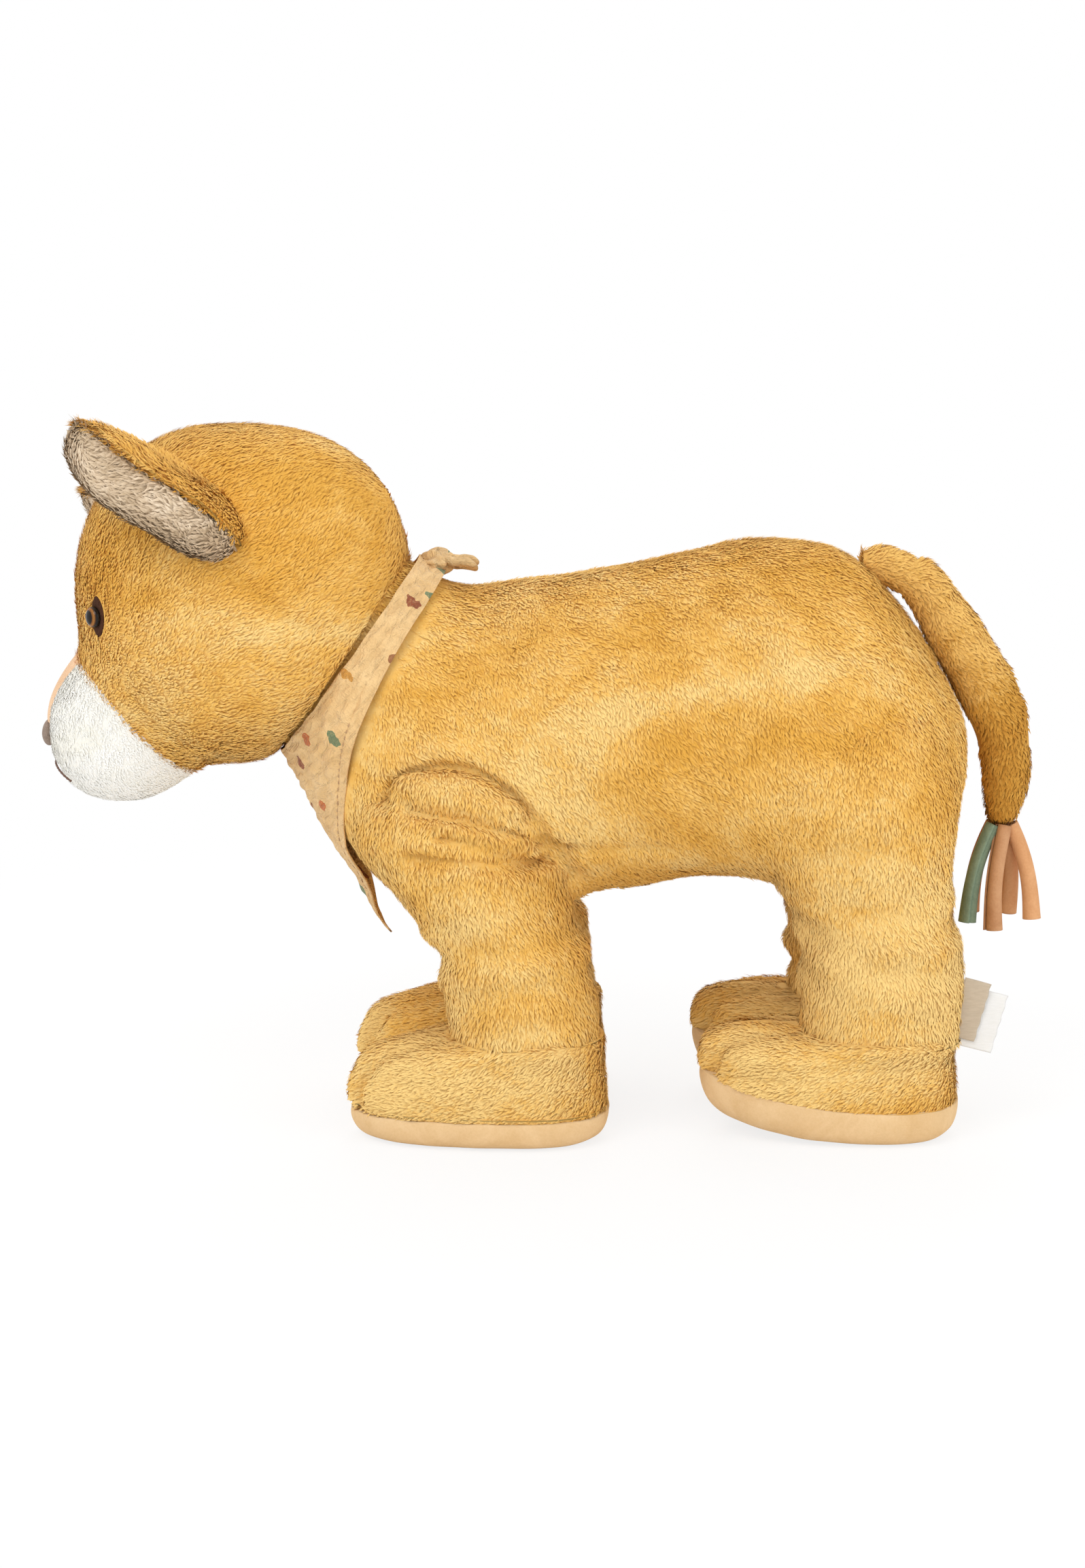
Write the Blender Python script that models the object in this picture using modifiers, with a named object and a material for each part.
"""A standing plush lion with a spotted neckerchief, about half a metre long.

The lion faces -Y, its left side is +X, and it stands on the plane z = 0. Lengths are in metres.
Every body, head and limb is a stuffed form that swells and tapers, and smaller forms are cut by larger ones.
"""

import math

import bmesh
import bpy
import numpy as np
from mathutils import Matrix, Vector

# Cloth and clearances
GAP = 0.0003
PLUSH_WALL = 0.003
MUSLIN_THICKNESS = 0.0012
LABEL_THICKNESS = 0.0006
LABEL_SPACING = 0.0012
OVERRUN = 0.020

# Torso, from the middle of the neck to the rump, and where the origin stands under it
TORSO_LENGTH = 0.304
TORSO_HEIGHT = 0.170
TORSO_WIDTH = 0.152
TORSO_AXIS_HEIGHT = 0.200
TORSO_RINGS = 19
TORSO_SIDES = 24

# Neck: where head and torso meet, and where the head nods
NECK_Y = -0.0948
NECK_PITCH = math.radians(35.6)
NECK_HALF_LENGTH = 0.012

# Head
HEAD_FORWARD = 0.059
HEAD_DROP = 0.007
HEAD_WIDTH = 0.160
HEAD_LENGTH = 0.167
HEAD_HEIGHT = 0.172

# Muzzle, its bridge, nose and mouth, placed by shares of the head's half sizes
MUZZLE_FORWARD_SHARE = 0.735
MUZZLE_DROP_SHARE = 0.762
MUZZLE_WIDTH = 0.086
MUZZLE_LENGTH = 0.076
MUZZLE_HEIGHT = 0.076
BRIDGE_THICKNESS = 0.0015
BRIDGE_TOP_WIDTH = 0.034
BRIDGE_BOTTOM_WIDTH = 0.020
BRIDGE_TOP_RISE = 0.036
BRIDGE_BOTTOM_RISE = 0.003
NOSE_WIDTH = 0.024
NOSE_HEIGHT = 0.013
NOSE_DEPTH = 0.0065
NOSE_DROP = 0.003
MOUTH_THREAD_RADIUS = 0.0006
MOUTH_SPREAD = 0.022
MOUTH_POINTS = 11

# Eyes, aimed at from the middle of the head by shares of its half sizes
EYE_AIM_SHARES = (0.560, -0.828, -0.062)
EYE_DIAMETER = 0.0105
EYE_DOME_HEIGHT = 0.0042
EYE_RIM_SHARE = 0.2
SHANK_DIAMETER = 0.0035
SHANK_LENGTH = 0.013
WASHER_DIAMETER = 0.014
WASHER_THICKNESS = 0.002
POCKET_CLEARANCE = 0.001
PATCH_WIDTH = 0.0115
PATCH_HEIGHT = 0.021
PATCH_THICKNESS = 0.001
PATCH_POINTEDNESS = 1.3

# Ears, placed by shares of the head's half sizes, out to the side, forward and up
EAR_LENGTH = 0.098
EAR_WIDTH = 0.076
EAR_BACK_DEPTH = 0.021
EAR_LINING_DEPTH = 0.015
EAR_PLACE_SHARES = (0.888, 0.419, 0.651)
EAR_SQUARENESS = 2.7
EAR_SLOPE = math.radians(33)
EAR_FLARE = math.radians(14)
EAR_TWIST = math.radians(10)
EAR_FOLD = math.radians(12)
EAR_HINGE_BACK = 0.030
RIGHT_EAR_DROOP = math.radians(35)

# Legs, placed by shares of the torso's length
FRONT_LEG_SPREAD = 0.047
REAR_LEG_SPREAD = 0.041
ANKLE_HEIGHT = 0.050
LEG_SIDES = 20
FRONT_ANKLE_SHARE = 0.287
FRONT_LEG_TOP = 0.148
FRONT_LEG_LEAN = 0.036
FRONT_LEG_RADIUS = 0.0385
REAR_ANKLE_SHARE = 0.859
REAR_LEG_TOP = 0.165
REAR_LEG_LEAN = 0.010
REAR_LEG_RADIUS = 0.0410

# Paws and soles
SOLE_HEIGHT = 0.013
PAW_HALF_WIDTH = 0.0395
FRONT_TOE_REACH = 0.0866
FRONT_HEEL_REACH = 0.0412
REAR_TOE_REACH = 0.0880
REAR_HEEL_REACH = 0.0395
REAR_TOE_LIFT = 0.012

# Tail, rooted by shares of the torso's length and height
TAIL_ROOT_SHARES = (0.8625, 0.447)
TAIL_ROOT_RADIUS = 0.011
TAIL_FOLD_BACK = 0.0115
TAIL_FOLD_DROP = 0.0035
TAIL_FOLD_RADIUS = 0.0100
TAIL_SWING = math.radians(20)
TAIL_LIFT = math.radians(60)
TAIL_SOCKET_GAP = 0.0008
TAIL_REACH = 0.0532
TAIL_FALL = 0.1253
TAIL_RADIUS = 0.0148
TAIL_END_RADIUS = 0.0080
TAIL_SIDES = 14

# Tassel
STRIP_LENGTH = 0.049
STRIP_RADIUS = 0.0033
STRIP_RING = 0.0062
STRIP_START = 0.003
STRIP_POINTS = 6

# Neckerchief
COLLAR_STANDOFF = 0.002
COLLAR_DEPTH = 0.006
COLLAR_NAPE_WIDTH = 0.015
COLLAR_FRONT_WIDTH = 0.060
SCARF_FRONT_WIDTH = 0.103
COLLAR_SIDES = 40
COLLAR_ROWS = 5
FLAP_HALF_ANGLE = math.radians(27)
FLAP_GAP = 0.0006
FLAP_COLUMNS = 12
FLAP_ROWS = 8
FLAP_FOLD_DEPTH = 0.003
FLAP_FOLD_COUNT = 1.5
FLAP_TIP_SHARE = 0.1
KNOT_WIDTH = 0.026
KNOT_LENGTH = 0.016
KNOT_HEIGHT = 0.0125
KNOT_SEAT_SHARES = (0.60, 0.22)
TIE_LENGTH = 0.016
TIE_WIDTH = 0.011
TIE_THICKNESS = 0.003
TIE_SIDE = 0.0075
TIE_OVERLAP = 0.0045
TIE_SLOPE = math.radians(10)

# Labels on the left rear leg, and how far aside of the leg's middle they are caught
LABEL_ASIDE = 0.009
LABEL_TILT = math.radians(15)
LABEL_TURN = math.radians(15)
BEIGE_LABEL_WIDTH = 0.009
BEIGE_LABEL_HEIGHT = 0.030
BEIGE_LABEL_MIDDLE = 0.064
WHITE_LABEL_WIDTH = 0.018
WHITE_LABEL_HEIGHT = 0.030
WHITE_LABEL_MIDDLE = 0.060

# Each torso ring: way from neck to rump, rise, half height, half width, and share of the neck's pitch
TORSO_SHARES = (
    (0.000, 0.192, 0.659, 0.700, 1.00),
    (0.073, 0.053, 0.807, 0.816, 0.86),
    (0.162, -0.031, 0.966, 0.921, 0.69),
    (0.297, -0.048, 1.024, 0.987, 0.50),
    (0.461, -0.012, 1.008, 1.000, 0.28),
    (0.612, 0.029, 1.003, 1.000, 0.13),
    (0.734, 0.045, 0.974, 0.987, 0.04),
    (0.836, 0.035, 0.870, 0.895, -0.04),
    (0.915, 0.004, 0.655, 0.684, -0.06),
    (0.970, -0.026, 0.380, 0.408, -0.06),
    (0.994, -0.041, 0.160, 0.170, -0.06),
)
# Each leg ring: way up, share of the lean, share of the radius
FRONT_LEG_SHARES = (
    (0.00, 0.00, 1.00),
    (0.35, 0.17, 0.99),
    (0.52, 0.35, 1.00),
    (0.68, 0.57, 1.00),
    (0.82, 0.78, 1.01),
    (1.00, 1.00, 1.04),
)
REAR_LEG_SHARES = (
    (0.00, 0.00, 1.00),
    (0.22, -0.05, 1.00),
    (0.39, 0.10, 0.99),
    (0.54, 0.30, 0.98),
    (0.74, 0.70, 1.04),
    (1.00, 1.00, 1.09),
)
DOME_ANGLES = (20, 40, 58, 75)
# Each foot ring: height, toe reach, heel reach, half width, and squareness
SOLE_SHARES = (
    (0.00, 0.900, 0.800, 0.800, 2.3),
    (0.15, 0.955, 0.900, 0.900, 2.3),
    (0.46, 0.990, 0.970, 0.975, 2.3),
    (1.00, 1.000, 1.000, 1.000, 2.3),
)
PAW_SHARES = (
    (0.00, 0.985, 0.985, 0.985, 2.3),
    (0.18, 1.000, 1.000, 1.000, 2.3),
    (0.40, 0.990, 0.995, 1.000, 2.3),
    (0.60, 0.940, 0.980, 0.990, 2.2),
    (0.74, 0.860, 0.965, 0.980, 2.2),
    (0.87, 0.680, 0.950, 0.975, 2.1),
    (0.96, 0.510, 0.940, 0.975, 2.0),
    (1.00, 0.446, 0.934, 0.975, 2.0),
)
# Each tail ring: way back, way down, share of the radius
TAIL_SHARES = (
    (0.000, 0.000, 0.68),
    (0.220, 0.070, 0.75),
    (0.420, 0.185, 0.84),
    (0.660, 0.345, 0.94),
    (0.820, 0.475, 1.00),
    (0.925, 0.585, 1.03),
    (0.985, 0.720, 0.93),
    (1.000, 0.840, 0.86),
    (0.965, 0.985, 0.50),
)
TAIL_ROOT_ANGLES = (-75, -50, -25, 0, 25, 50, 75)
TAIL_LIFT_SHARES = (0.667, 1.0)
# Each strip: angle round the tail's end in degrees, sideways and backward drift, share of the length
STRIP_SHARES = {
    "strip_green": (300, 0.04, -0.22, 1.00),
    "strip_tan": (12, 0.10, -0.11, 1.06),
    "strip_peach_front": (84, 0.02, 0.20, 0.98),
    "strip_peach_back": (156, -0.10, 0.06, 0.96),
    "strip_brown": (228, -0.08, -0.17, 0.94),
}
# The mouth's thread, down the muzzle's half height: where it starts, where it forks and where it ends
MOUTH_SHARES = (-0.31, -0.46, -0.66)
# How square a form is seen from above and from the side: 2 is round
HEAD_ROUNDNESS = (2.0, 2.35)
MUZZLE_ROUNDNESS = (2.1, 2.3)
NOSE_ROUNDNESS = (2.0, 2.0)
KNOT_ROUNDNESS = (2.2, 2.2)
TIE_ROUNDNESS = (4.0, 2.5)
# Each neck filling ring: way along the neck, share of its size
NECK_SHARES = ((-1, 1.0), (-0.4, 0.985), (0.4, 0.985), (1, 1.0))
EYE_DOME_ANGLES = (20, 40, 60, 80)

# How the neckerchief runs from the neck: backward and upward, each with its change from nape to throat
SCARF_FLARE_SHARE = 0.24
SCARF_BACK_SHARES = (0.680, 0.200)
SCARF_UP_SHARES = (-0.660, 0.215)
SCARF_TAPER = 4

# Colours as red, green, blue; roughness
YELLOW_PLUSH = ((0.72, 0.42, 0.12), 0.95)
WHITE_PLUSH = ((0.86, 0.85, 0.82), 0.95)
PEACH_VELOUR = ((0.85, 0.57, 0.32), 0.90)
BEIGE_PLUSH = ((0.58, 0.48, 0.38), 0.95)
NOSE_VELOUR = ((0.36, 0.27, 0.22), 0.85)
BROWN_FELT = ((0.10, 0.04, 0.02), 0.90)
EYE_PLASTIC = ((0.02, 0.012, 0.01), 0.12)
WHITE_PLASTIC = ((0.75, 0.75, 0.72), 0.45)
FIBRE = ((0.88, 0.88, 0.88), 0.95)
MUSLIN = ((0.82, 0.54, 0.28), 0.90)
GREEN_VELOUR = ((0.20, 0.28, 0.17), 0.90)
BROWN_VELOUR = ((0.42, 0.20, 0.10), 0.90)
TAN_VELOUR = ((0.52, 0.26, 0.12), 0.90)
SATIN = ((0.80, 0.78, 0.72), 0.60)
BEIGE_LINEN = ((0.55, 0.44, 0.30), 0.85)

FRONT_ANKLE_Y = NECK_Y + TORSO_LENGTH * FRONT_ANKLE_SHARE
REAR_ANKLE_Y = NECK_Y + TORSO_LENGTH * REAR_ANKLE_SHARE
NECK = Vector((0, NECK_Y, TORSO_AXIS_HEIGHT + TORSO_SHARES[0][1] * TORSO_HEIGHT))
NECK_FORWARD = Vector((0, -math.cos(NECK_PITCH), math.sin(NECK_PITCH)))
NECK_UP = Vector((0, math.sin(NECK_PITCH), math.cos(NECK_PITCH)))
NECK_HALF_HEIGHT = TORSO_SHARES[0][2] * TORSO_HEIGHT / 2
NECK_HALF_WIDTH = TORSO_SHARES[0][3] * TORSO_WIDTH / 2
HEAD_MIDDLE = NECK + NECK_FORWARD * HEAD_FORWARD - NECK_UP * HEAD_DROP
HEAD_HALVES = Vector((HEAD_WIDTH, HEAD_LENGTH, HEAD_HEIGHT)) / 2
MUZZLE_PLACE = Vector((0, -HEAD_HALVES.y * MUZZLE_FORWARD_SHARE, -HEAD_HALVES.z * MUZZLE_DROP_SHARE))
MUZZLE_MIDDLE = HEAD_MIDDLE + MUZZLE_PLACE
MUZZLE_HALVES = Vector((MUZZLE_WIDTH, MUZZLE_LENGTH, MUZZLE_HEIGHT)) / 2
TAIL_ROOT_Y = NECK_Y + TORSO_LENGTH * TAIL_ROOT_SHARES[0]
TAIL_ROOT = Vector((0, TAIL_ROOT_Y, TORSO_AXIS_HEIGHT + TORSO_HEIGHT * TAIL_ROOT_SHARES[1]))
TAIL_FOLD = TAIL_ROOT + Vector((0, TAIL_FOLD_BACK, -TAIL_FOLD_DROP))
TAIL_END = TAIL_FOLD + Vector((0, TAIL_REACH * TAIL_SHARES[-1][0], -TAIL_FALL))


def clear_scene():
    """Take every object away, so that the model starts in an empty scene."""
    for old in list(bpy.data.objects):
        bpy.data.objects.remove(old, do_unlink=True)


def collection_named(name):
    """A new collection under the scene's own."""
    made = bpy.data.collections.new(name)
    bpy.context.scene.collection.children.link(made)
    return made


clear_scene()
PARTS = collection_named("plush_lion")
CUTTERS = collection_named("cutters")


def material_of(name, colour, roughness, metallic=0.0):
    """A plain Principled finish of one colour."""
    made = bpy.data.materials.new(name)
    made.use_nodes = True
    shader = made.node_tree.nodes["Principled BSDF"]
    shader.inputs["Base Color"].default_value = (*colour, 1.0)
    shader.inputs["Roughness"].default_value = roughness
    shader.inputs["Metallic"].default_value = metallic
    made.diffuse_color = (*colour, 1.0)
    return made


def piece(name, mesh, finish):
    """One sub-part, with a finish of its own."""
    mesh.name = name
    made = bpy.data.objects.new(name, mesh)
    mesh.materials.clear()
    mesh.materials.append(material_of(name + "_finish", *finish))
    mesh.shade_smooth()
    PARTS.objects.link(made)
    return made


def cutter(name, mesh):
    """A guide that cuts its neighbours and is no sub-part itself."""
    made = bpy.data.objects.new(name, mesh)
    made.hide_render = True
    made.display_type = "WIRE"
    CUTTERS.objects.link(made)
    return made


def boolean(target, tool, operation="DIFFERENCE"):
    """Cut the target with the tool, or keep only what both hold."""
    step = target.modifiers.new(tool.name, "BOOLEAN")
    step.operation = operation
    step.solver = "EXACT"
    step.object = tool


def finished_mesh(shape):
    """Write the edited shape to a mesh, with its faces out."""
    bmesh.ops.recalc_face_normals(shape, faces=shape.faces)
    mesh = bpy.data.meshes.new("shape")
    shape.to_mesh(mesh)
    shape.free()
    return mesh


def loft(rings, middles=(None, None)):
    """A closed form through rings of equal point counts, each end closed by a fan to its middle."""
    shape = bmesh.new()
    loops = [[shape.verts.new(point) for point in ring] for ring in rings]
    sides = len(loops[0])
    for lower, upper in zip(loops, loops[1:]):
        for i in range(sides):
            j = (i + 1) % sides
            shape.faces.new((lower[i], lower[j], upper[j], upper[i]))
    for loop, given in zip((loops[0], loops[-1]), middles):
        middle = shape.verts.new(given or sum((v.co for v in loop), Vector()) / sides)
        for i in range(sides):
            shape.faces.new((loop[i], loop[(i + 1) % sides], middle))
    return finished_mesh(shape)


def moved(mesh, distance):
    """A copy of a form whose surface lies further out by a distance, which may be negative."""
    copy = mesh.copy()
    places = np.array([v.co for v in mesh.vertices])
    normals = np.array([v.normal for v in mesh.vertices])
    copy.vertices.foreach_set("co", (places + normals * distance).ravel())
    copy.update()
    return copy


def turned(mesh, matrix):
    """A copy of a form under a placement matrix."""
    copy = mesh.copy()
    copy.transform(matrix)
    copy.update()
    return copy


def smooth_rows(rows, count):
    """Rows read from a smooth curve through the given ones, at even steps of their number."""
    known = np.array(rows, dtype=float)
    padded = np.vstack((2 * known[0] - known[1], known, 2 * known[-1] - known[-2]))
    made = []
    for place in np.linspace(0, len(known) - 1, count):
        i = min(int(place), len(known) - 2)
        t = place - i
        a, b, c, d = padded[i : i + 4]
        square = 2 * a - 5 * b + 4 * c - d
        cube = 3 * b - a - 3 * c + d
        made.append((2 * b + (c - a) * t + square * t**2 + cube * t**3) / 2)
    return made


def ring_angles(sides):
    """Even angles round a ring."""
    return [2 * math.pi * i / sides for i in range(sides)]


def swollen_ball(halves, roundness, sides, rings):
    """A ball stretched to half sizes, squarer than an ellipsoid where its roundness is above 2."""
    shape = bmesh.new()
    bmesh.ops.create_uvsphere(shape, u_segments=sides, v_segments=rings, radius=1)
    level, upright = roundness
    for v in shape.verts:
        flat = (abs(v.co.x) ** level + abs(v.co.y) ** level) ** (upright / level)
        v.co /= (flat + abs(v.co.z) ** upright) ** (1 / upright)
        v.co = Vector((v.co.x * halves.x, v.co.y * halves.y, v.co.z * halves.z))
    return finished_mesh(shape)


def ball(radius, sides=16, rings=10):
    """A round ball."""
    shape = bmesh.new()
    bmesh.ops.create_uvsphere(shape, u_segments=sides, v_segments=rings, radius=radius)
    return finished_mesh(shape)


def half_ball(halves, squareness, sides=22, rings=5):
    """Half of a stretched ball: its flat side at z = 0 and its crown towards +z."""
    made = []
    for k in range(rings):
        level = math.pi / 2 * k / rings
        flat = math.cos(level) ** (2 / squareness)
        crown = math.sin(level) ** (2 / squareness)
        wide = halves.x * flat
        deep = halves.y * flat
        made.append([(wide * math.cos(a), deep * math.sin(a), halves.z * crown) for a in ring_angles(sides)])
    return loft(made)


def block(size, middle, turn=None):
    """A box of the given size round a middle point."""
    shape = bmesh.new()
    bmesh.ops.create_cube(shape, size=1)
    place = Matrix.Translation(middle) @ (turn or Matrix.Identity(4)) @ Matrix.Diagonal((*size, 1))
    bmesh.ops.transform(shape, matrix=place, verts=shape.verts)
    return finished_mesh(shape)


def tube_mesh(points, radii, resolution=2):
    """A round tube through points, made as a curve with filled ends and then turned into a mesh."""
    curve = bpy.data.curves.new("tube", "CURVE")
    curve.dimensions = "3D"
    curve.bevel_depth = 1.0
    curve.bevel_resolution = resolution
    curve.use_fill_caps = True
    line = curve.splines.new("POLY")
    line.points.add(len(points) - 1)
    for slot, point, radius in zip(line.points, points, radii):
        slot.co = (*point, 1)
        slot.radius = radius
    guide = bpy.data.objects.new("tube", curve)
    PARTS.objects.link(guide)
    seen = guide.evaluated_get(bpy.context.evaluated_depsgraph_get())
    shape = bmesh.new()
    shape.from_mesh(bpy.data.meshes.new_from_object(seen))
    bpy.data.objects.remove(guide)
    bmesh.ops.remove_doubles(shape, verts=shape.verts, dist=GAP / 10)
    return finished_mesh(shape)


def torso_mesh():
    """The torso: elliptical rings that follow a spine from the neck to the rump."""
    rings = []
    for way, rise, tall, wide, pitch in smooth_rows(TORSO_SHARES, TORSO_RINGS):
        middle = Vector((0, NECK_Y + way * TORSO_LENGTH, TORSO_AXIS_HEIGHT + rise * TORSO_HEIGHT))
        lean = pitch * NECK_PITCH
        up = Vector((0, math.sin(lean), math.cos(lean))) * (tall * TORSO_HEIGHT / 2)
        side = Vector((wide * TORSO_WIDTH / 2, 0, 0))
        rings.append([middle + side * math.sin(a) + up * math.cos(a) for a in ring_angles(TORSO_SIDES)])
    return loft(rings)


def neck_block(name, facing):
    """A large box whose face is one of the neck's two planes, facing = 1 towards the head."""
    size = Vector((1, 1, 1)) * (HEAD_HEIGHT * 2)
    middle = NECK + NECK_FORWARD * (facing * (size.y / 2 - NECK_HALF_LENGTH))
    turn = Matrix.Rotation(-NECK_PITCH, 4, "X")
    return cutter(name, block(size, middle, turn))


def build_torso():
    """Torso cover, open at the neck, and the fibre inside it."""
    form = torso_mesh()
    front = neck_block("torso_front_plane", 1)
    cover = piece("torso_cover", form.copy(), YELLOW_PLUSH)
    boolean(cover, cutter("torso_hollow", moved(form, -PLUSH_WALL)))
    boolean(cover, front)
    filling = piece("torso_filling", moved(form, -PLUSH_WALL - GAP), FIBRE)
    boolean(filling, front)
    sweep = TAIL_FOLD_BACK * math.sin(TAIL_SWING)
    socket = cutter("tail_socket", tail_root_mesh(TAIL_SOCKET_GAP, sweep))
    boolean(cover, socket)
    boolean(filling, socket)
    return form


def tail_root_mesh(grown=0, sweep=0):
    """The root of the tail, round about both its ends, or the room that it takes as it swings."""
    ahead = (TAIL_FOLD - TAIL_ROOT).normalized()
    across = Vector((1, 0, 0))
    up = ahead.cross(across)
    rings = []
    for degrees in TAIL_ROOT_ANGLES:
        a = math.radians(degrees)
        middle, radius = (TAIL_ROOT, TAIL_ROOT_RADIUS) if degrees < 0 else (TAIL_FOLD, TAIL_FOLD_RADIUS)
        round_radius = (radius + grown) * math.cos(a)
        centre = middle + ahead * ((radius + grown) * math.sin(a))
        ring = []
        for b in ring_angles(TAIL_SIDES):
            turn = b + math.pi / TAIL_SIDES
            wide = round_radius * math.sin(turn)
            side = across * (wide + math.copysign(sweep, wide))
            ring.append(centre + side + up * (round_radius * math.cos(turn)))
        rings.append(ring)
    return loft(rings)


def build_neck():
    """The soft stretch between the two planes, a little slack so that the head can nod."""
    rings = []
    for way, size in NECK_SHARES:
        middle = NECK + NECK_FORWARD * way * (NECK_HALF_LENGTH - GAP)
        side = Vector((NECK_HALF_WIDTH * size, 0, 0))
        up = NECK_UP * (NECK_HALF_HEIGHT * size)
        rings.append([middle + side * math.sin(a) + up * math.cos(a) for a in ring_angles(TORSO_SIDES)])
    piece("neck_filling", loft(rings), FIBRE)


def eye_frame(side):
    """Where an eye sits on the head, with +Z of the frame along the eye's axis, out of the head."""
    share = Vector(EYE_AIM_SHARES)
    share.x *= side
    level, upright = HEAD_ROUNDNESS
    flat = (abs(share.x) ** level + abs(share.y) ** level) ** (upright / level)
    share /= (flat + abs(share.z) ** upright) ** (1 / upright)
    seat = HEAD_MIDDLE + share * HEAD_HALVES
    out = Vector((share.x / HEAD_HALVES.x, share.y / HEAD_HALVES.y, 0)).normalized()
    across = Vector((0, 0, 1)).cross(out).normalized()
    frame = Matrix((across, out.cross(across), out)).transposed().to_4x4()
    return Matrix.Translation(seat) @ frame


def cylinder(radius, low, high, frame, sides=16):
    """A round bar along the frame's Z axis, from low to high."""
    shape = bmesh.new()
    length = high - low
    bmesh.ops.create_cone(shape, cap_ends=True, segments=sides, radius1=radius, radius2=radius, depth=length)
    place = frame @ Matrix.Translation((0, 0, low + length / 2))
    bmesh.ops.transform(shape, matrix=place, verts=shape.verts)
    return finished_mesh(shape)


def pointed_oval(frame, depth):
    """A pointed oval prism along the frame's Z axis, for the eye patch's outline."""
    outline = []
    for a in ring_angles(20):
        narrow = math.copysign(abs(math.sin(a)) ** PATCH_POINTEDNESS, math.sin(a))
        outline.append(Vector((PATCH_WIDTH / 2 * narrow, PATCH_HEIGHT / 2 * math.cos(a), 0)))
    rings = [[frame @ (point + Vector((0, 0, z))) for point in outline] for z in (-depth, depth)]
    return loft(rings)


def eye_mesh(frame):
    """A domed plastic eye on its shank, as one turned piece."""
    low = PATCH_THICKNESS + 2 * GAP
    rim = low + EYE_DOME_HEIGHT * EYE_RIM_SHARE
    crown = EYE_DOME_HEIGHT * (1 - EYE_RIM_SHARE)
    profile = [(SHANK_DIAMETER / 2, -SHANK_LENGTH), (SHANK_DIAMETER / 2, low)]
    profile += [(EYE_DIAMETER / 2, low), (EYE_DIAMETER / 2, rim)]
    for degrees in EYE_DOME_ANGLES:
        a = math.radians(degrees)
        profile.append((EYE_DIAMETER / 2 * math.cos(a), rim + crown * math.sin(a)))
    rings = []
    for r, z in profile:
        rings.append([frame @ Vector((r * math.cos(a), r * math.sin(a), z)) for a in ring_angles(16)])
    return loft(rings)


def build_eye(word, side, head_form, cover, filling):
    """One eye, its felt patch and the washer that locks its shank behind the cover."""
    frame = eye_frame(side)
    piece("eye_" + word, eye_mesh(frame), EYE_PLASTIC)
    hole = cutter("shank_hole_" + word, cylinder(SHANK_DIAMETER / 2 + GAP, -OVERRUN, OVERRUN, frame))
    patch = piece("eye_patch_" + word, moved(head_form, PATCH_THICKNESS + GAP), BROWN_FELT)
    outline = cutter("patch_outline_" + word, pointed_oval(frame, OVERRUN))
    boolean(patch, outline, "INTERSECT")
    boolean(patch, cutter("patch_back_" + word, moved(head_form, GAP)))
    boolean(patch, hole)
    boolean(cover, hole)
    top = -PLUSH_WALL - 2 * GAP
    washer_form = cylinder(WASHER_DIAMETER / 2, top - WASHER_THICKNESS, top, frame)
    washer = piece("eye_washer_" + word, washer_form, WHITE_PLASTIC)
    boolean(washer, hole)
    boolean(washer, cutter("washer_seat_" + word, head_shell_guide(head_form)))
    pocket_radius = WASHER_DIAMETER / 2 + POCKET_CLEARANCE
    pocket_depth = SHANK_LENGTH + POCKET_CLEARANCE
    pocket = cylinder(pocket_radius, -pocket_depth, OVERRUN, frame)
    boolean(filling, cutter("washer_pocket_" + word, pocket))


def head_shell_guide(head_form):
    """The head cover grown by the clearance on its inner side, to trim what lies behind it."""
    shape = bmesh.new()
    shape.from_mesh(moved(head_form, OVERRUN))
    inner = bmesh.new()
    inner.from_mesh(moved(head_form, -PLUSH_WALL - GAP))
    bmesh.ops.reverse_faces(inner, faces=inner.faces)
    mesh = bpy.data.meshes.new("inner")
    inner.to_mesh(mesh)
    inner.free()
    shape.from_mesh(mesh)
    shell = bpy.data.meshes.new("shell")
    shape.to_mesh(shell)
    shape.free()
    return shell


def build_head():
    """Head cover, open at the neck, its fibre, and the two eyes."""
    form = swollen_ball(HEAD_HALVES, HEAD_ROUNDNESS, 24, 16)
    form.transform(Matrix.Translation(HEAD_MIDDLE))
    back = neck_block("head_back_plane", -1)
    cover = piece("head_cover", form.copy(), YELLOW_PLUSH)
    boolean(cover, cutter("head_hollow", moved(form, -PLUSH_WALL)))
    boolean(cover, back)
    filling = piece("head_filling", moved(form, -PLUSH_WALL - GAP), FIBRE)
    boolean(filling, back)
    build_eye("left", 1, form, cover, filling)
    build_eye("right", -1, form, cover, filling)
    return form


def tapered_slab(top_width, bottom_width, top, bottom, front, back):
    """A slab that faces the front, wider at its top."""
    rings = []
    for width, z in ((bottom_width, bottom), (top_width, top)):
        half = width / 2
        rings.append([(half, front, z), (half, back, z), (-half, back, z), (-half, front, z)])
    return loft(rings)


def muzzle_point(side, rise, out):
    """A point at a distance out of the muzzle's front, at a side and a rise from its middle."""
    level, upright = MUZZLE_ROUNDNESS
    flat = (1 - abs(rise / MUZZLE_HALVES.z) ** upright) ** (level / upright)
    forward = (flat - abs(side / MUZZLE_HALVES.x) ** level) ** (1 / level) * MUZZLE_HALVES.y
    normal = Vector((side / MUZZLE_HALVES.x**2, -forward / MUZZLE_HALVES.y**2, rise / MUZZLE_HALVES.z**2))
    return MUZZLE_MIDDLE + Vector((side, -forward, rise)) + normal.normalized() * out


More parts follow.
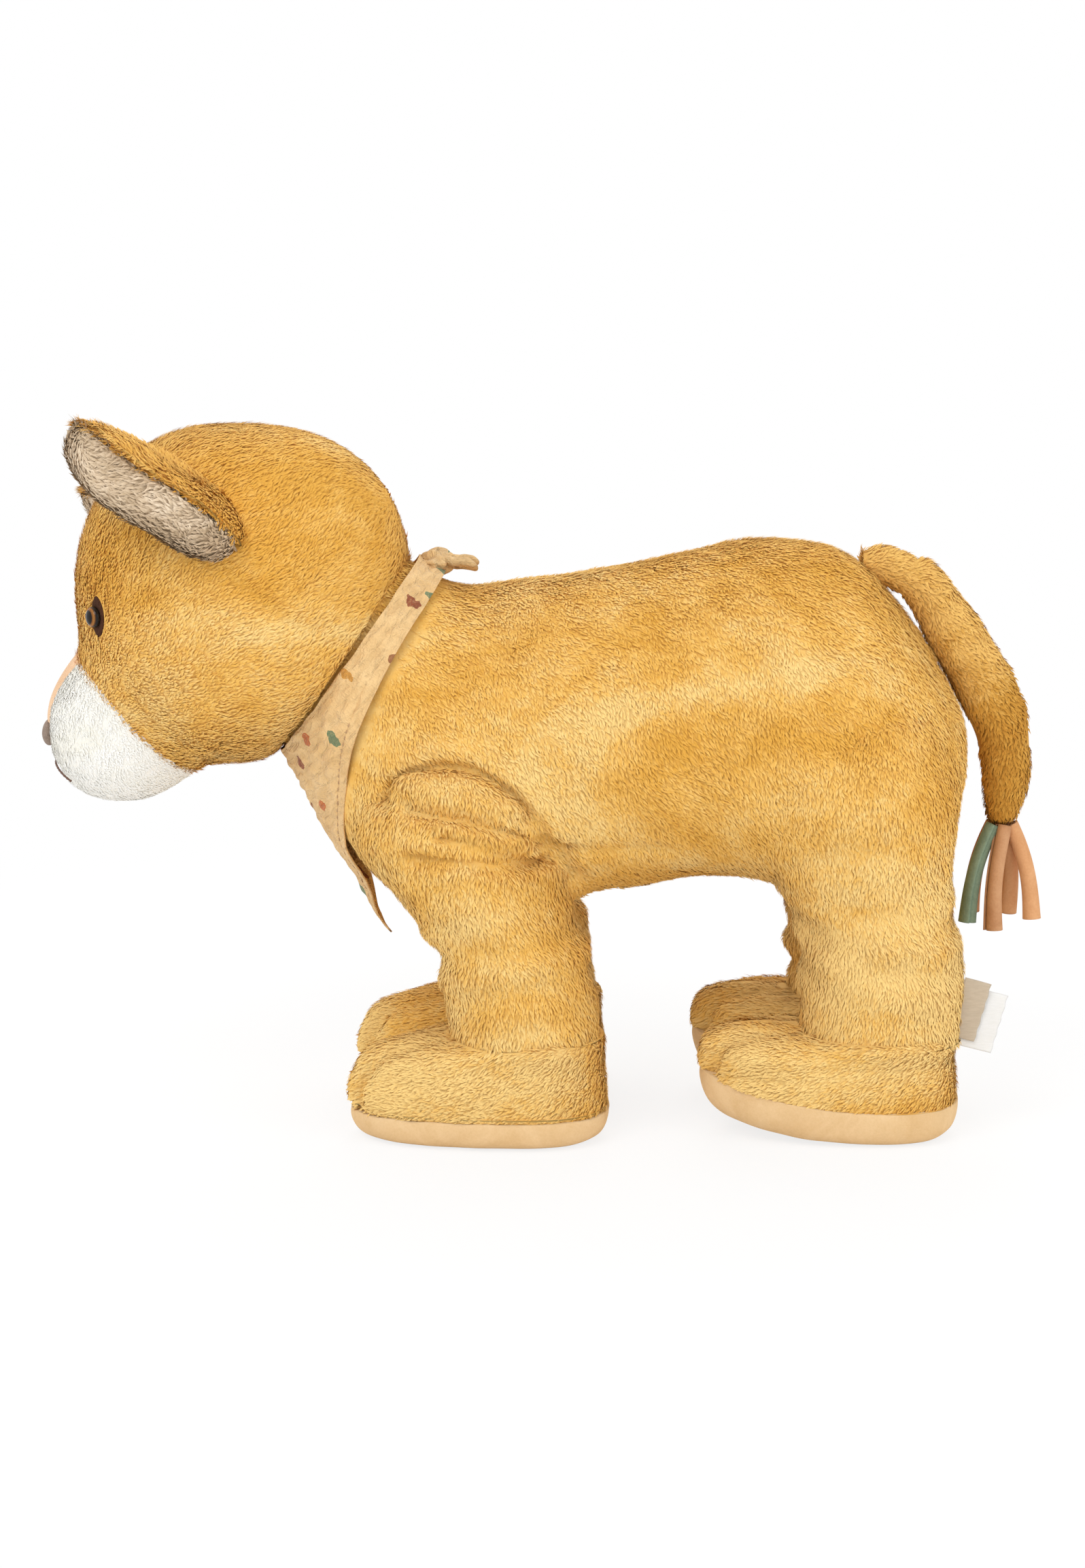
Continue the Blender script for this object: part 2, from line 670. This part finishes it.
def build_muzzle(head_form):
    """White muzzle, the short-pile bridge on it, the nose and the thread of the mouth."""
    form = swollen_ball(MUZZLE_HALVES, MUZZLE_ROUNDNESS, 22, 14)
    form.transform(Matrix.Translation(MUZZLE_MIDDLE))
    head_guide = cutter("head_grown", moved(head_form, GAP))
    muzzle = piece("muzzle", form.copy(), WHITE_PLUSH)
    boolean(muzzle, head_guide)
    bridge = piece("nose_bridge", moved(form, GAP + BRIDGE_THICKNESS), PEACH_VELOUR)
    front = MUZZLE_MIDDLE.y - MUZZLE_HALVES.y - OVERRUN
    top = MUZZLE_MIDDLE.z + BRIDGE_TOP_RISE
    bottom = MUZZLE_MIDDLE.z + BRIDGE_BOTTOM_RISE
    slab = tapered_slab(BRIDGE_TOP_WIDTH, BRIDGE_BOTTOM_WIDTH, top, bottom, front, MUZZLE_MIDDLE.y)
    boolean(bridge, cutter("bridge_outline", slab), "INTERSECT")
    boolean(bridge, cutter("muzzle_grown", moved(form, GAP)))
    boolean(bridge, head_guide)
    nose_halves = Vector((NOSE_WIDTH, NOSE_DEPTH, NOSE_HEIGHT)) / 2
    nose_form = swollen_ball(nose_halves, NOSE_ROUNDNESS, 16, 10)
    nose_form.transform(Matrix.Translation(muzzle_point(0, -NOSE_DROP, 0)))
    nose = piece("nose", nose_form, NOSE_VELOUR)
    boolean(nose, bpy.data.objects["muzzle_grown"])
    boolean(nose, cutter("bridge_underside", bridge_underside(bottom, front)))
    build_mouth()


def build_mouth():
    """The sewn thread of the mouth: down from the nose, then forked to both sides."""
    start, fork, end = MOUTH_SHARES
    lift = GAP + MOUTH_THREAD_RADIUS * 2
    upright = []
    for way in np.linspace(start, fork, MOUTH_POINTS // 3):
        upright.append(muzzle_point(0, MUZZLE_HALVES.z * way, lift))
    smile = []
    for way in np.linspace(-1, 1, MOUTH_POINTS):
        rise = MUZZLE_HALVES.z * (fork + (end - fork) * way**2)
        smile.append(muzzle_point(MOUTH_SPREAD * way, rise, lift))
    thread = piece("mouth_thread", tube_mesh(upright, [MOUTH_THREAD_RADIUS] * len(upright)), BROWN_FELT)
    fork_mesh = tube_mesh(smile, [MOUTH_THREAD_RADIUS] * len(smile))
    boolean(thread, cutter("mouth_fork", fork_mesh), "UNION")


def bridge_underside(bottom, front):
    """A box over the bridge's lower edge, which keeps the nose clear of it."""
    size = Vector((NOSE_WIDTH * 2, MUZZLE_LENGTH, NOSE_HEIGHT))
    middle = Vector((0, front + size.y / 2, bottom - GAP + size.z / 2))
    return block(size, middle)


def ear_frame(side, droop):
    """The ear's placement: X along it from base to tip, Y across, Z out of the lining."""
    aside, forward, rise = EAR_PLACE_SHARES
    middle = HEAD_MIDDLE + Vector((aside * side, -forward, rise)) * HEAD_HALVES
    along = Vector((side * math.sin(EAR_FLARE), -math.cos(EAR_SLOPE), math.sin(EAR_SLOPE))).normalized()
    down = Vector((0, -math.sin(EAR_SLOPE), -math.cos(EAR_SLOPE)))
    lining = (down - along * down.dot(along)).normalized()
    lining = Matrix.Rotation(-side * EAR_TWIST, 3, along) @ lining
    across = lining.cross(along)
    frame = Matrix.Translation(middle) @ Matrix((along, across, lining)).transposed().to_4x4()
    return turn_about(ear_hinge(frame), hinge_axis(frame), droop) @ frame


def ear_hinge(frame):
    """A point on the ear's hinge line, near its base."""
    return frame @ Vector((-EAR_HINGE_BACK, 0, 0))


def hinge_axis(frame):
    """The direction of the ear's hinge line."""
    return (frame.to_3x3() @ Vector((0, 1, 0))).normalized()


def turn_about(point, axis, angle):
    """A turn about a line."""
    return Matrix.Translation(point) @ Matrix.Rotation(angle, 4, axis) @ Matrix.Translation(-point)


def build_ear(word, side, droop, head_form):
    """One ear of two stuffed halves, cut so that it can fold without meeting the head."""
    frame = ear_frame(side, droop)
    lining_form = half_ball(Vector((EAR_LENGTH / 2, EAR_WIDTH / 2, EAR_LINING_DEPTH)), EAR_SQUARENESS)
    back_form = half_ball(Vector((EAR_LENGTH / 2, EAR_WIDTH / 2, EAR_BACK_DEPTH)), EAR_SQUARENESS)
    flip = Matrix.Rotation(math.pi, 4, "X")
    lift = Matrix.Translation((0, 0, GAP / 2))
    grown_head = moved(head_form, GAP)
    lining = piece("ear_lining_" + word, turned(lining_form, frame @ lift), BEIGE_PLUSH)
    back = piece("ear_back_" + word, turned(back_form, frame @ flip @ lift), YELLOW_PLUSH)
    for number, angle in enumerate((0, -EAR_FOLD, -EAR_FOLD / 2, EAR_FOLD / 2, EAR_FOLD)):
        turn = turn_about(ear_hinge(frame), hinge_axis(frame), angle)
        guide = cutter("head_for_ear_%s_%d" % (word, number), turned(grown_head, turn))
        boolean(lining, guide)
        boolean(back, guide)


def leg_mesh(x, ankle_y, top, lean, radius, shares):
    """A stuffed leg: round rings from the ankle up, closed by a dome inside the torso."""
    rows = smooth_rows(shares, 9)
    rings = []
    for way, lean_share, radius_share in rows:
        z = ANKLE_HEIGHT + way * (top - ANKLE_HEIGHT)
        rings.append((ankle_y - lean * lean_share, z, radius * radius_share))
    y, z, widest = rings[-1]
    for degrees in DOME_ANGLES:
        a = math.radians(degrees)
        rings.append((y, z + widest * math.sin(a), widest * math.cos(a)))
    width = FRONT_LEG_RADIUS / radius
    made = []
    for y, z, r in rings:
        made.append([(x + r * width * math.sin(a), y - r * math.cos(a), z) for a in ring_angles(LEG_SIDES)])
    return loft(made)


def foot_ring(x, ankle_y, z, toe, heel, half_width, power, lift):
    """One level ring of a foot, whose toe end may be lifted off the floor."""
    ring = []
    for a in ring_angles(LEG_SIDES):
        forward = math.copysign(abs(math.cos(a)) ** (2 / power), math.cos(a))
        aside = math.copysign(abs(math.sin(a)) ** (2 / power), math.sin(a))
        reach = toe if forward > 0 else heel
        raised = z + lift * max(forward, 0) ** 2
        ring.append((x + half_width * aside, ankle_y - reach * forward, raised))
    return ring


def foot_mesh(x, ankle_y, toe, heel, low, high, shares, lift):
    """A sole or a paw: rings that change from a foot's outline to the ankle's, level at the heel."""
    rings = []
    for way, toe_share, heel_share, wide_share, power in shares:
        z = low + way * (high - low)
        raised = lift * (1 - z / ANKLE_HEIGHT)
        half_width = PAW_HALF_WIDTH * wide_share
        rings.append(foot_ring(x, ankle_y, z, toe * toe_share, heel * heel_share, half_width, power, raised))
    return loft(rings, (Vector((x, ankle_y, low)), Vector((x, ankle_y, high))))


def build_leg(word, side, front, torso_form):
    """A leg, its paw and its sole."""
    if front:
        x, ankle_y, top, lean = FRONT_LEG_SPREAD * side, FRONT_ANKLE_Y, FRONT_LEG_TOP, FRONT_LEG_LEAN
        radius, shares = FRONT_LEG_RADIUS, FRONT_LEG_SHARES
        toe, heel, lift = FRONT_TOE_REACH, FRONT_HEEL_REACH, 0
    else:
        x, ankle_y, top, lean = REAR_LEG_SPREAD * side, REAR_ANKLE_Y, REAR_LEG_TOP, REAR_LEG_LEAN
        radius, shares = REAR_LEG_RADIUS, REAR_LEG_SHARES
        toe, heel, lift = REAR_TOE_REACH, REAR_HEEL_REACH, REAR_TOE_LIFT
    leg = piece("leg_" + word, leg_mesh(x, ankle_y, top, lean, radius, shares), YELLOW_PLUSH)
    boolean(leg, cutter("torso_for_leg_" + word, moved(torso_form, GAP)))
    paw = foot_mesh(x, ankle_y, toe, heel, SOLE_HEIGHT + GAP, ANKLE_HEIGHT - GAP, PAW_SHARES, lift)
    piece("paw_" + word, paw, YELLOW_PLUSH)
    sole = foot_mesh(x, ankle_y, toe, heel, 0, SOLE_HEIGHT, SOLE_SHARES, lift)
    piece("sole_" + word, sole, PEACH_VELOUR)


def build_tail(torso_form):
    """Tail root, which turns in its socket on the rump, and the tail, which lifts at the fold."""
    piece("tail_root", tail_root_mesh(), YELLOW_PLUSH)
    grown_torso = moved(torso_form, GAP)
    guides = []
    for number, angle in enumerate((0, -TAIL_SWING, TAIL_SWING)):
        turn = turn_about(TAIL_ROOT, Vector((0, 0, 1)), angle)
        guides.append(cutter("torso_for_tail_%d" % number, turned(grown_torso, turn)))
    for number, share in enumerate(TAIL_LIFT_SHARES):
        turn = turn_about(TAIL_FOLD, Vector((1, 0, 0)), -TAIL_LIFT * share)
        guides.append(cutter("root_for_tail_%d" % number, turned(tail_root_mesh(GAP), turn)))
    rings = []
    rows = smooth_rows(TAIL_SHARES, 15)
    places = [TAIL_FOLD + Vector((0, TAIL_REACH * back, -TAIL_FALL * down)) for back, down, _ in rows]
    for i, (_, _, size) in enumerate(rows):
        ahead = (places[min(i + 1, len(rows) - 1)] - places[max(i - 1, 0)]).normalized()
        across = Vector((TAIL_RADIUS * size, 0, 0))
        up = ahead.cross(across)
        rings.append([places[i] + across * math.sin(a) + up * math.cos(a) for a in ring_angles(TAIL_SIDES)])
    tail = piece("tail", loft(rings), YELLOW_PLUSH)
    fold_guide = turned(ball(TAIL_FOLD_RADIUS + TAIL_SOCKET_GAP), Matrix.Translation(TAIL_FOLD))
    for guide in [cutter("tail_fold_grown", fold_guide)] + guides:
        boolean(tail, guide)
    end_ball = turned(ball(TAIL_END_RADIUS), Matrix.Translation(TAIL_END))
    boolean(tail, cutter("tail_end_ball", end_ball), "UNION")


def build_tassel():
    """Five rolled strips that hang from the rounded end of the tail."""
    finishes = (GREEN_VELOUR, TAN_VELOUR, PEACH_VELOUR, PEACH_VELOUR, BROWN_VELOUR)
    grown_end = turned(ball(TAIL_END_RADIUS + GAP), Matrix.Translation(TAIL_END))
    end_guide = cutter("tail_end_grown", grown_end)
    for (name, row), finish in zip(STRIP_SHARES.items(), finishes):
        degrees, sideways, backward, length = row
        a = math.radians(degrees)
        top = TAIL_END + Vector((STRIP_RING * math.cos(a), STRIP_RING * math.sin(a), -STRIP_START))
        drift = Vector((sideways, backward, -length)) * STRIP_LENGTH
        route = [top + drift * (k / (STRIP_POINTS - 1)) for k in range(STRIP_POINTS)]
        strip = piece(name, tube_mesh(route, [STRIP_RADIUS] * STRIP_POINTS), finish)
        boolean(strip, end_guide)


def scarf_point(angle, way, out=0.0):
    """A point of the neckerchief, way down the cloth: angle 0 at the nape and pi at the throat."""
    c = math.cos(angle)
    s = math.sin(angle)
    start = NECK + NECK_UP * ((NECK_HALF_HEIGHT + COLLAR_STANDOFF + out) * c)
    start = start + Vector(((NECK_HALF_WIDTH + COLLAR_STANDOFF + out) * s, 0, 0))
    back = SCARF_BACK_SHARES[0] + SCARF_BACK_SHARES[1] * c
    up = SCARF_UP_SHARES[0] + SCARF_UP_SHARES[1] * c
    return start + Vector((SCARF_FLARE_SHARE * s, back, up)).normalized() * way


def scarf_width(angle):
    """How far the whole neckerchief reaches from the neck at an angle."""
    share = min(angle, 2 * math.pi - angle) / math.pi
    return COLLAR_NAPE_WIDTH + (SCARF_FRONT_WIDTH - COLLAR_NAPE_WIDTH) * share**SCARF_TAPER


def sheet(rows, closed):
    """A thin cloth surface through rows of points, whose rows may close on themselves."""
    shape = bmesh.new()
    grid = [[shape.verts.new(point) for point in row] for row in rows]
    for lower, upper in zip(grid, grid[1:]):
        count = len(lower)
        for i in range(count if closed else count - 1):
            j = (i + 1) % count
            shape.faces.new((lower[i], lower[j], upper[j], upper[i]))
    mesh = bpy.data.meshes.new("sheet")
    shape.normal_update()
    shape.to_mesh(mesh)
    shape.free()
    return mesh


def build_cloth(name, surface):
    """A muslin piece, with the cloth's thickness on the outer side of its surface."""
    step = piece(name, surface, MUSLIN).modifiers.new("thickness", "SOLIDIFY")
    step.thickness = MUSLIN_THICKNESS
    step.offset = 1
    step.use_even_offset = True


def build_scarf():
    """The collar round the neck and the flap that hangs from it over the chest."""
    rows = []
    for k in range(COLLAR_ROWS):
        row = []
        for angle in ring_angles(COLLAR_SIDES):
            width = min(scarf_width(angle), COLLAR_FRONT_WIDTH)
            row.append(scarf_point(angle, width * k / (COLLAR_ROWS - 1)))
        rows.append(row)
    build_cloth("bandana_collar", sheet(rows, True))
    rows = []
    for k in range(FLAP_ROWS):
        row = []
        way = k / (FLAP_ROWS - 1)
        spread = FLAP_HALF_ANGLE * (1 - (1 - FLAP_TIP_SHARE) * way)
        for i in range(FLAP_COLUMNS + 1):
            share = 2 * i / FLAP_COLUMNS - 1
            angle = math.pi + share * spread
            length = (SCARF_FRONT_WIDTH - COLLAR_FRONT_WIDTH - FLAP_GAP) * way
            fold = FLAP_FOLD_DEPTH * way * math.cos(share * math.pi * FLAP_FOLD_COUNT)
            point = scarf_point(angle, COLLAR_FRONT_WIDTH + FLAP_GAP + length)
            row.append(point + Vector((0, -fold, 0)))
        rows.append(row)
    build_cloth("bandana_flap", sheet(rows, False))


def build_knot(torso_form):
    """The knot on the nape and the two tie ends behind it."""
    along, out = KNOT_SEAT_SHARES
    seat = scarf_point(0, COLLAR_NAPE_WIDTH * along, KNOT_HEIGHT * out)
    torso_guide = cutter("torso_for_knot", moved(torso_form, GAP))
    collar_guide = cutter("collar_for_knot", collar_guide_mesh())
    halves = Vector((KNOT_WIDTH, KNOT_LENGTH, KNOT_HEIGHT)) / 2
    form = swollen_ball(halves, KNOT_ROUNDNESS, 16, 10)
    form.transform(Matrix.Translation(seat))
    knot = piece("bandana_knot", form, MUSLIN)
    boolean(knot, torso_guide)
    boolean(knot, collar_guide)
    knot_guide = cutter("knot_grown", moved(form, GAP))
    for word, side in (("left", 1), ("right", -1)):
        turn = Matrix.Rotation(-TIE_SLOPE, 4, "X") @ Matrix.Rotation(-side * TIE_SLOPE, 4, "Z")
        middle = seat + Vector((TIE_SIDE * side, (KNOT_LENGTH + TIE_LENGTH) / 2 - TIE_OVERLAP, 0))
        tie_halves = Vector((TIE_WIDTH, TIE_LENGTH, TIE_THICKNESS)) / 2
        tie_form = swollen_ball(tie_halves, TIE_ROUNDNESS, 16, 8)
        tie_form.transform(Matrix.Translation(middle) @ turn)
        tie = piece("tie_end_" + word, tie_form, MUSLIN)
        boolean(tie, torso_guide)
        boolean(tie, knot_guide)


def collar_guide_mesh():
    """A ring round the collar with the clearance on its outer side, which reaches into the neck."""
    low = -COLLAR_DEPTH
    high = MUSLIN_THICKNESS + GAP
    front = -GAP
    back = COLLAR_NAPE_WIDTH + GAP
    shape = bmesh.new()
    loops = []
    for way, out in ((front, low), (back, low), (back, high), (front, high)):
        points = [scarf_point(angle, way, out) for angle in ring_angles(COLLAR_SIDES)]
        loops.append([shape.verts.new(point) for point in points])
    for lower, upper in zip(loops, loops[1:] + loops[:1]):
        for i in range(COLLAR_SIDES):
            j = (i + 1) % COLLAR_SIDES
            shape.faces.new((lower[i], lower[j], upper[j], upper[i]))
    return finished_mesh(shape)


def build_labels():
    """Two bare labels caught in the rear seam of the left rear leg."""
    seam_y = REAR_ANKLE_Y + REAR_LEG_RADIUS
    seam_x = REAR_LEG_SPREAD + LABEL_ASIDE
    tilt = Matrix.Rotation(-LABEL_TILT, 4, "X")
    seam = Vector((seam_x, seam_y, WHITE_LABEL_MIDDLE))
    axis = tilt.to_3x3() @ Vector((0, 0, 1))
    guides = []
    for number, angle in enumerate((0, -LABEL_TURN, LABEL_TURN)):
        turn = turn_about(seam, axis, angle)
        for word in ("leg", "paw"):
            grown = moved(bpy.data.objects[word + "_rear_left"].data, GAP)
            guides.append(cutter("%s_for_labels_%d" % (word, number), turned(grown, turn)))
    beige_size = (BEIGE_LABEL_WIDTH, BEIGE_LABEL_HEIGHT)
    white_size = (WHITE_LABEL_WIDTH, WHITE_LABEL_HEIGHT)
    rows = (
        ("label_beige", beige_size, BEIGE_LABEL_MIDDLE, seam_x + LABEL_SPACING, BEIGE_LINEN),
        ("label_white", white_size, WHITE_LABEL_MIDDLE, seam_x, SATIN),
    )
    for name, (width, height), middle, x, finish in rows:
        size = Vector((LABEL_THICKNESS, width + OVERRUN / 2, height))
        place = Vector((x, seam_y + width / 2 - OVERRUN / 4, middle))
        label = piece(name, block(size, place, tilt), finish)
        for guide in guides:
            boolean(label, guide)


TORSO = torso_mesh()
build_torso()
build_neck()
HEAD = build_head()
build_muzzle(HEAD)
build_ear("left", 1, 0, HEAD)
build_ear("right", -1, -RIGHT_EAR_DROOP, HEAD)
for leg_word, leg_side, is_front in (
    ("front_left", 1, True),
    ("front_right", -1, True),
    ("rear_left", 1, False),
    ("rear_right", -1, False),
):
    build_leg(leg_word, leg_side, is_front, TORSO)
build_tail(TORSO)
build_tassel()
build_scarf()
build_knot(TORSO)
build_labels()
